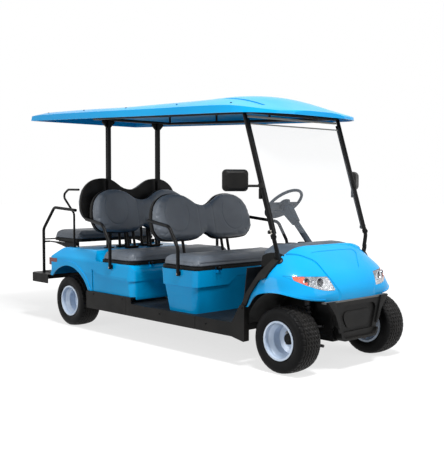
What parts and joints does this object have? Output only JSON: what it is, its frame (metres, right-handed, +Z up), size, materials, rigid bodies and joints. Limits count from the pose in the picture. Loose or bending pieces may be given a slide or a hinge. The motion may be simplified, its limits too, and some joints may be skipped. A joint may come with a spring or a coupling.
{
  "type": "six-seat golf cart",
  "caption": "Open electric golf cart with benches, a rear-facing flip-over bench and footrest, full roof on posts, fold-type windscreen and steering front wheels.",
  "frame": {"origin": "on the ground below the middle of the cart's box", "axes": "+X forward, +Y to the driver's left, +Z up"},
  "size_m": [3.481, 1.5012, 1.9722],
  "materials": {
    "body_paint": "glossy moulded-in sky blue",
    "seat_vinyl": "fine-grained grey vinyl",
    "black_plastic": "textured black moulding",
    "dash_plastic": "grained dark grey moulding",
    "frame_steel": "satin black powder coat",
    "bare_steel": "dark chassis paint on steel",
    "motor_case": "cast aluminium",
    "battery_case": "moulded case",
    "floor_rubber": "ribbed floor mat",
    "lamp_clear": "clear lens over a bright reflector",
    "lamp_red": "red lens",
    "screen_glass": "clear acrylic sheet",
    "tyre_rubber": "black rubber",
    "wheel_silver": "silver-white enamel on pressed steel"
  },
  "bodies": {
    "chassis": {"chassis_frame": "frame_steel", "chassis_crossmembers": "frame_steel", "chassis_brackets": "frame_steel", "front_suspension": "bare_steel", "steering_gear": "bare_steel", "rear_axle": "bare_steel", "rear_springs": "bare_steel", "drive_motor": "motor_case", "battery_pack": "battery_case", "floor_pan": "floor_rubber", "side_sills": "black_plastic", "front_cowl": "body_paint", "front_valance": "black_plastic", "headlamps": "lamp_clear", "dashboard": "dash_plastic", "cowl_pads": "black_plastic", "arch_liners": "black_plastic", "seat_pod": "body_paint", "rear_body": "body_paint", "tail_lamps": "lamp_red", "rear_footrest": "black_plastic", "backrest_front": "seat_vinyl", "backrest_middle": "seat_vinyl", "backrest_rear": "seat_vinyl", "backrest_shells": "black_plastic", "seat_frames": "frame_steel", "bench_webs": "frame_steel", "arm_rails": "frame_steel", "rear_rails": "frame_steel", "roof": "body_paint", "roof_frame": "frame_steel", "windscreen_pillars": "frame_steel", "rear_struts": "frame_steel", "windscreen": "screen_glass", "mirrors": "black_plastic", "steering_column": "dash_plastic", "pedals": "bare_steel"},
    "steering_wheel": {"steering_wheel": "dash_plastic"},
    "front_bench": {"cushion_front": "seat_vinyl", "board_front": "black_plastic"},
    "middle_bench": {"cushion_middle": "seat_vinyl", "board_middle": "black_plastic"},
    "rear_bench": {"cushion_rear": "seat_vinyl", "board_rear": "black_plastic"},
    "knuckle_left": {"knuckle_left": "bare_steel"},
    "knuckle_right": {"knuckle_right": "bare_steel"},
    "tie_rod": {"tie_rod": "bare_steel"},
    "wheel_front_left": {"tyre_front_left": "tyre_rubber", "rim_front_left": "wheel_silver"},
    "wheel_front_right": {"tyre_front_right": "tyre_rubber", "rim_front_right": "wheel_silver"},
    "wheel_rear_left": {"tyre_rear_left": "tyre_rubber", "rim_rear_left": "wheel_silver"},
    "wheel_rear_right": {"tyre_rear_right": "tyre_rubber", "rim_rear_right": "wheel_silver"}
  },
  "joints": [
    {"name": "steer_left", "type": "hinge", "parent": "chassis", "child": "knuckle_left", "pos_m": [1.4905, 0.35, 0.229], "axis": [0, 0, 1], "range_deg": [-30, 30]},
    {"name": "steer_right", "type": "hinge", "parent": "chassis", "child": "knuckle_right", "pos_m": [1.4905, -0.35, 0.229], "axis": [0, 0, 1], "range_deg": [-30, 30]},
    {"name": "tie_rod_swing", "type": "hinge", "parent": "knuckle_left", "child": "tie_rod", "pos_m": [1.3805, 0.35, 0.1907], "axis": [0, 0, 1], "range_deg": [-30, 30]},
    {"name": "steering_wheel_turn", "type": "hinge", "parent": "chassis", "child": "steering_wheel", "pos_m": [0.7645, 0.27, 1.13], "axis": [-0.6702, 0, 0.7422], "range_deg": [-405, 405]},
    {"name": "front_bench_lid", "type": "hinge", "parent": "chassis", "child": "front_bench", "pos_m": [0.6845, 0, 0.648], "axis": [0, 1, 0], "range_deg": [0, 60]},
    {"name": "middle_bench_lid", "type": "hinge", "parent": "chassis", "child": "middle_bench", "pos_m": [-0.1385, 0, 0.63], "axis": [0, 1, 0], "range_deg": [0, 60]},
    {"name": "rear_bench_flip", "type": "hinge", "parent": "chassis", "child": "rear_bench", "pos_m": [-1.5935, 0, 0.762], "axis": [0, -1, 0], "range_deg": [0, 180]},
    {"name": "wheel_front_left_spin", "type": "hinge", "parent": "knuckle_left", "child": "wheel_front_left", "pos_m": [1.4905, 0.486, 0.229], "axis": [0, 1, 0], "continuous": true},
    {"name": "wheel_front_right_spin", "type": "hinge", "parent": "knuckle_right", "child": "wheel_front_right", "pos_m": [1.4905, -0.486, 0.229], "axis": [0, 1, 0], "continuous": true},
    {"name": "wheel_rear_left_spin", "type": "hinge", "parent": "chassis", "child": "wheel_rear_left", "pos_m": [-1.0795, 0.486, 0.229], "axis": [0, 1, 0], "continuous": true},
    {"name": "wheel_rear_right_spin", "type": "hinge", "parent": "chassis", "child": "wheel_rear_right", "pos_m": [-1.0795, -0.486, 0.229], "axis": [0, 1, 0], "continuous": true}
  ],
  "couplings": [
    {"joint": "steer_right", "follows": "steer_left", "ratio": 1},
    {"joint": "tie_rod_swing", "follows": "steer_left", "ratio": -1},
    {"joint": "steering_wheel_turn", "follows": "steer_left", "ratio": 13.5}
  ]
}
